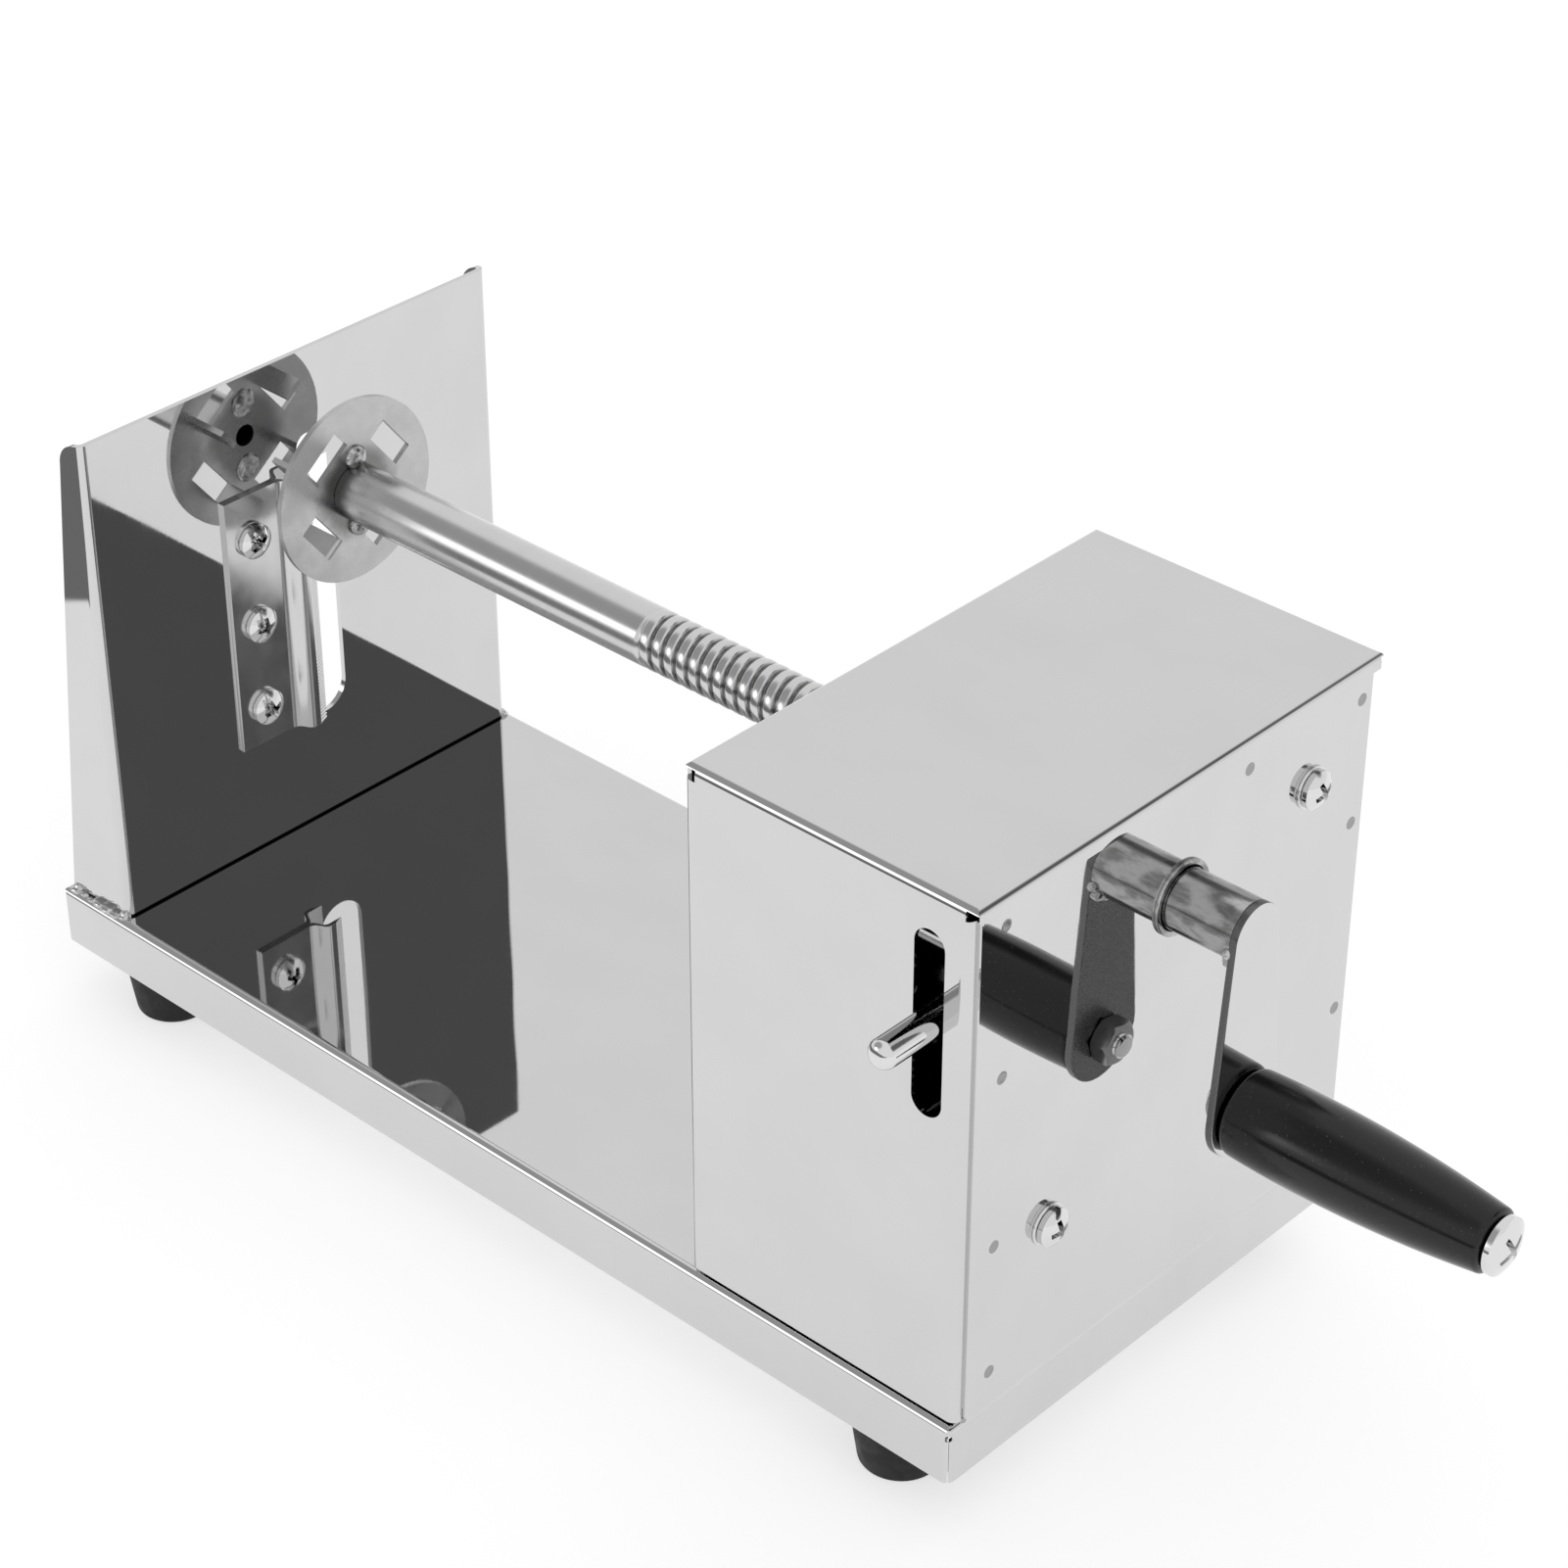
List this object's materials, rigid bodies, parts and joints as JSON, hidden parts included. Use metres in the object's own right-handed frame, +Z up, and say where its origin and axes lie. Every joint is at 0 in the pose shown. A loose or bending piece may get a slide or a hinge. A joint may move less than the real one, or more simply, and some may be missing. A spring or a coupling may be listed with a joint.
{
  "type": "tornado potato cutter",
  "caption": "Hand cranked tornado potato cutter in stainless steel: a threaded spindle with a forked disc, an upright slicing knife and a sprung half-nut release lever.",
  "frame": {"origin": "Centre of the tray's outline, in the plane of the bench that the feet stand on.", "axes": "+X runs along the spindle from the knife towards the crank, +Y is to the left of that, away from the release lever's pin, +Z is up."},
  "size_m": [0.4036, 0.1565, 0.1724],
  "materials": {
    "polished_sheet": "mirror polished stainless sheet",
    "turned_steel": "turned and lightly brushed stainless",
    "ground_steel": "satin ground stainless",
    "screws": "bright plated",
    "nut_brass": "machined",
    "foot_rubber": "matte",
    "grip_plastic": "satin gloss, moulded"
  },
  "bodies": {
    "frame": {"base_tray": "polished_sheet", "rubber_feet": "foot_rubber", "foot_screws": "screws", "foot_nuts": "screws", "blade_plate": "polished_sheet", "slicing_knife": "ground_steel", "knife_screws": "screws", "knife_nuts": "screws", "housing_cover": "polished_sheet", "front_panel": "polished_sheet", "rear_panel": "polished_sheet", "front_bushing": "turned_steel", "rear_bushing": "turned_steel", "pivot_screw": "screws", "pivot_washer": "screws", "pivot_spacer": "turned_steel", "pivot_nut": "screws", "anchor_screw": "screws", "anchor_washer": "screws", "anchor_nut": "screws", "return_spring": "turned_steel"},
    "carriage": {"crank_hub": "turned_steel"},
    "spindle": {"spindle_tube": "turned_steel", "feed_screw": "turned_steel", "fork_disc": "ground_steel", "tack_welds": "ground_steel", "crank_stud": "turned_steel", "crank_arm": "polished_sheet", "grip_bolt": "screws", "grip_nut": "screws"},
    "grip": {"handle_grip": "grip_plastic"},
    "lever": {"release_lever": "ground_steel", "half_nut": "nut_brass", "lever_pin": "turned_steel"}
  },
  "joints": [
    {"name": "spindle_feed", "type": "slide", "parent": "frame", "child": "carriage", "axis": [1, 0, 0], "range_m": [-0.003, 0.136]},
    {"name": "crank_turn", "type": "hinge", "parent": "carriage", "child": "spindle", "pos_m": [0, 0, 0.1406], "axis": [1, 0, 0], "range_deg": [-270, 12240]},
    {"name": "grip_spin", "type": "hinge", "parent": "spindle", "child": "grip", "pos_m": [0.2, 0, 0.0936], "axis": [1, 0, 0], "continuous": true},
    {"name": "lever_lift", "type": "hinge", "parent": "frame", "child": "lever", "pos_m": [0.1451, 0.046, 0.1469], "axis": [1, 0, 0], "range_deg": [-9.4, 0], "stiffness_Nm_per_rad": 2, "springref_deg": 14.32, "deforming": ["return_spring"]}
  ],
  "couplings": [
    {"joint": "spindle_feed", "follows": "crank_turn", "m_per_rad": 0.00063662}
  ]
}
